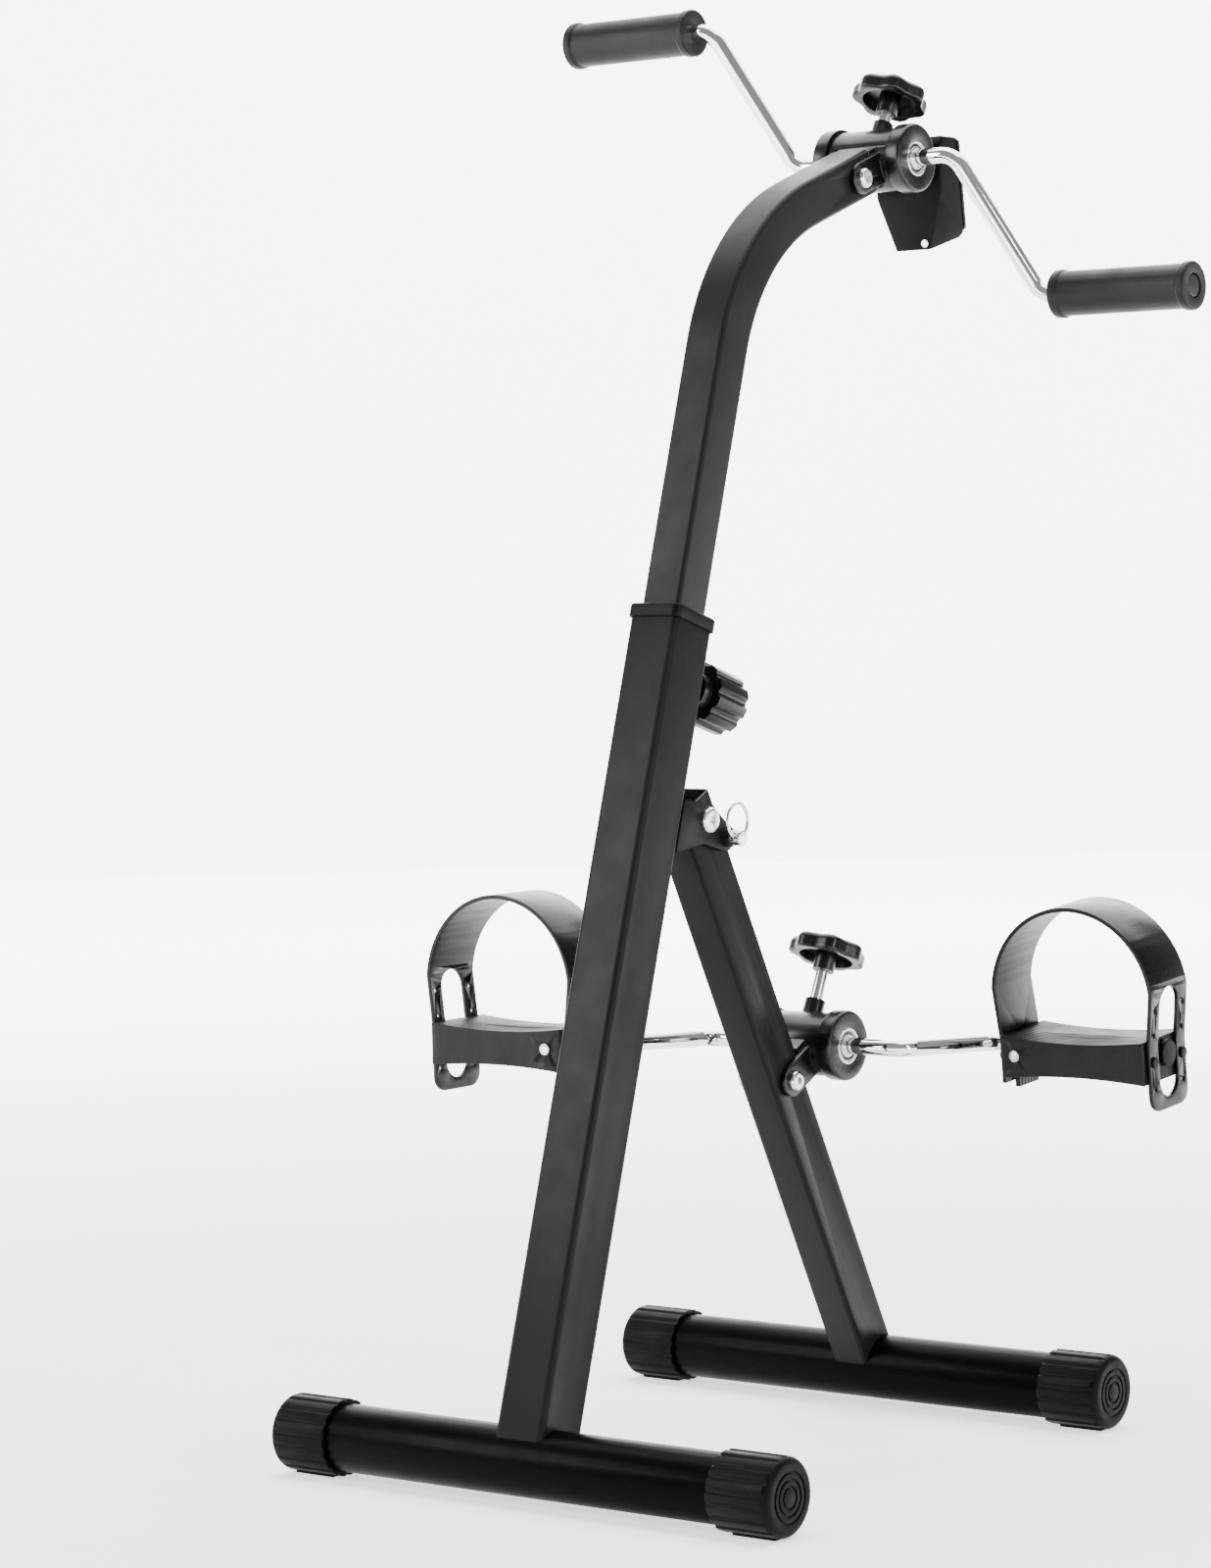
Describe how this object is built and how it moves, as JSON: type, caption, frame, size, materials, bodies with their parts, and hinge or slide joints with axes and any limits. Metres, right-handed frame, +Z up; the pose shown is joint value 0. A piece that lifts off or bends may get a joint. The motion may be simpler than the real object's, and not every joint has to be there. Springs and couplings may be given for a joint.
{
  "type": "pedal exerciser",
  "caption": "Upright folding exerciser: hand crank on a telescopic mast, pedal crank on the rear leg, screw-tension hubs.",
  "frame": {"origin": "centre of the whole machine on the floor", "axes": "+Z up, +X along the foot bars to the right hand of the machine seen from the front bar, +Y towards the seated user"},
  "size_m": [0.412, 0.4575, 0.8608],
  "materials": {
    "black_powder_coat": "satin",
    "black_plastic": "matt",
    "gloss_black_plastic": "semi-gloss",
    "strap_plastic": "soft satin",
    "chrome": "polished",
    "zinc_steel": "bright zinc",
    "bearing_steel": "ground",
    "grip_rubber": "matt",
    "nylon": "matt",
    "display_window": "clear over grey display",
    "button_plastic": "semi-gloss",
    "circuit_board": "lacquered"
  },
  "bodies": {
    "frame": {"front_foot_tube": "black_powder_coat", "front_foot_caps": "black_plastic", "mast_tube": "black_powder_coat", "mast_collar": "black_plastic", "leg_bracket": "black_powder_coat", "pivot_bolt": "zinc_steel", "pivot_nut": "zinc_steel"},
    "mast_slide": {"inner_tube": "black_powder_coat", "inner_tube_guide": "black_plastic", "hand_hub_housing": "gloss_black_plastic", "hand_hub_end_caps": "gloss_black_plastic", "hand_hub_bearings": "bearing_steel", "hand_hub_bolt": "zinc_steel", "hand_hub_nut": "zinc_steel", "monitor_back": "black_plastic", "monitor_front": "gloss_black_plastic", "monitor_lens": "display_window", "monitor_board": "circuit_board", "monitor_battery": "zinc_steel", "monitor_screw": "zinc_steel"},
    "mast_lock_pad": {"mast_lock_pad": "nylon"},
    "mast_lock_knob": {"mast_lock_screw": "zinc_steel", "mast_lock_knob": "gloss_black_plastic"},
    "hand_crank": {"hand_crank_drum": "zinc_steel", "right_hand_rod": "chrome", "left_hand_rod": "chrome", "grip_end_caps": "gloss_black_plastic"},
    "right_grip": {"right_grip": "grip_rubber"},
    "left_grip": {"left_grip": "grip_rubber"},
    "hand_friction_plug": {"hand_friction_plug": "nylon"},
    "hand_tension_knob": {"hand_tension_screw": "zinc_steel", "hand_tension_knob": "gloss_black_plastic"},
    "monitor_button": {"monitor_button": "button_plastic"},
    "rear_leg": {"rear_leg": "black_powder_coat", "leg_plug": "black_plastic", "rear_foot_tube": "black_powder_coat", "rear_foot_caps": "black_plastic", "pedal_hub_housing": "gloss_black_plastic", "pedal_hub_end_caps": "gloss_black_plastic", "pedal_hub_bearings": "bearing_steel", "pedal_hub_bolt": "zinc_steel", "pedal_hub_nut": "zinc_steel"},
    "pedal_crank": {"pedal_crank_drum": "zinc_steel", "right_pedal_rod": "chrome", "left_pedal_rod": "chrome", "spindle_collars": "zinc_steel", "spindle_end_caps": "black_plastic"},
    "right_pedal": {"right_pedal_deck": "gloss_black_plastic", "right_pedal_strap": "strap_plastic", "right_strap_rivets": "black_plastic", "right_pedal_screw": "zinc_steel"},
    "left_pedal": {"left_pedal_deck": "gloss_black_plastic", "left_pedal_strap": "strap_plastic", "left_strap_rivets": "black_plastic", "left_pedal_screw": "zinc_steel"},
    "pedal_friction_plug": {"pedal_friction_plug": "nylon"},
    "pedal_tension_knob": {"pedal_tension_screw": "zinc_steel", "pedal_tension_knob": "gloss_black_plastic"},
    "lock_pin": {"lock_pin": "zinc_steel"},
    "pull_ring": {"pull_ring": "zinc_steel"}
  },
  "joints": [
    {"name": "mast_height", "type": "slide", "parent": "frame", "child": "mast_slide", "axis": [0, 0.3039, 0.9527], "range_m": [-0.063, 0.084]},
    {"name": "leg_fold", "type": "hinge", "parent": "frame", "child": "rear_leg", "pos_m": [0, -0.04907, 0.37], "axis": [-1, 0, 0], "range_deg": [0, 42]},
    {"name": "mast_lock_travel", "type": "slide", "parent": "frame", "child": "mast_lock_pad", "axis": [0, 0.9527, -0.3039], "range_m": [0, 0.0013]},
    {"name": "mast_lock_turn", "type": "hinge", "parent": "mast_lock_pad", "child": "mast_lock_knob", "pos_m": [0, -0.04979, 0.44777], "axis": [0, -0.9527, 0.3039], "range_deg": [-360, 0]},
    {"name": "hand_crank_turn", "type": "hinge", "parent": "mast_slide", "child": "hand_crank", "pos_m": [0, 0.16185, 0.76011], "axis": [1, 0, 0], "continuous": true},
    {"name": "right_grip_spin", "type": "hinge", "parent": "hand_crank", "child": "right_grip", "pos_m": [0, 0.19081, 0.67406], "axis": [1, 0, 0], "continuous": true},
    {"name": "left_grip_spin", "type": "hinge", "parent": "hand_crank", "child": "left_grip", "pos_m": [0, 0.13289, 0.84617], "axis": [1, 0, 0], "continuous": true},
    {"name": "hand_tension_travel", "type": "slide", "parent": "mast_slide", "child": "hand_friction_plug", "axis": [0, -0.4384, -0.8988], "range_m": [-0.0013, 0.0013]},
    {"name": "hand_tension_turn", "type": "hinge", "parent": "hand_friction_plug", "child": "hand_tension_knob", "pos_m": [0, 0.16185, 0.76011], "axis": [0, -0.4384, -0.8988], "range_deg": [-360, 360]},
    {"name": "monitor_button_press", "type": "slide", "parent": "mast_slide", "child": "monitor_button", "axis": [0, -0.9932, -0.1164], "range_m": [0, 0.0012], "stiffness_N_per_m": 600, "springref_m": -0.0008},
    {"name": "pedal_crank_turn", "type": "hinge", "parent": "rear_leg", "child": "pedal_crank", "pos_m": [0, 0.06727, 0.22772], "axis": [1, 0, 0], "continuous": true},
    {"name": "right_pedal_spin", "type": "hinge", "parent": "pedal_crank", "child": "right_pedal", "pos_m": [0, 0.1611, 0.22198], "axis": [1, 0, 0], "continuous": true},
    {"name": "left_pedal_spin", "type": "hinge", "parent": "pedal_crank", "child": "left_pedal", "pos_m": [0, -0.02655, 0.23345], "axis": [1, 0, 0], "continuous": true},
    {"name": "pedal_tension_travel", "type": "slide", "parent": "rear_leg", "child": "pedal_friction_plug", "axis": [0, -0.4384, -0.8988], "range_m": [-0.0013, 0.0013]},
    {"name": "pedal_tension_turn", "type": "hinge", "parent": "pedal_friction_plug", "child": "pedal_tension_knob", "pos_m": [0, 0.06727, 0.22772], "axis": [0, -0.4384, -0.8988], "range_deg": [-360, 360]},
    {"name": "lock_pin_pull", "type": "slide", "parent": "frame", "child": "lock_pin", "axis": [1, 0, 0], "range_m": [0, 0.006], "stiffness_N_per_m": 250, "springref_m": -0.004},
    {"name": "pull_ring_swing", "type": "hinge", "parent": "lock_pin", "child": "pull_ring", "pos_m": [0.025, -0.03148, 0.35873], "axis": [0, 1, 0], "range_deg": [-8, 170]}
  ],
  "couplings": [
    {"joint": "mast_lock_travel", "follows": "mast_lock_turn", "m_per_rad": -0.00019894},
    {"joint": "hand_tension_travel", "follows": "hand_tension_turn", "m_per_rad": 0.00019894},
    {"joint": "pedal_tension_travel", "follows": "pedal_tension_turn", "m_per_rad": 0.00019894}
  ]
}
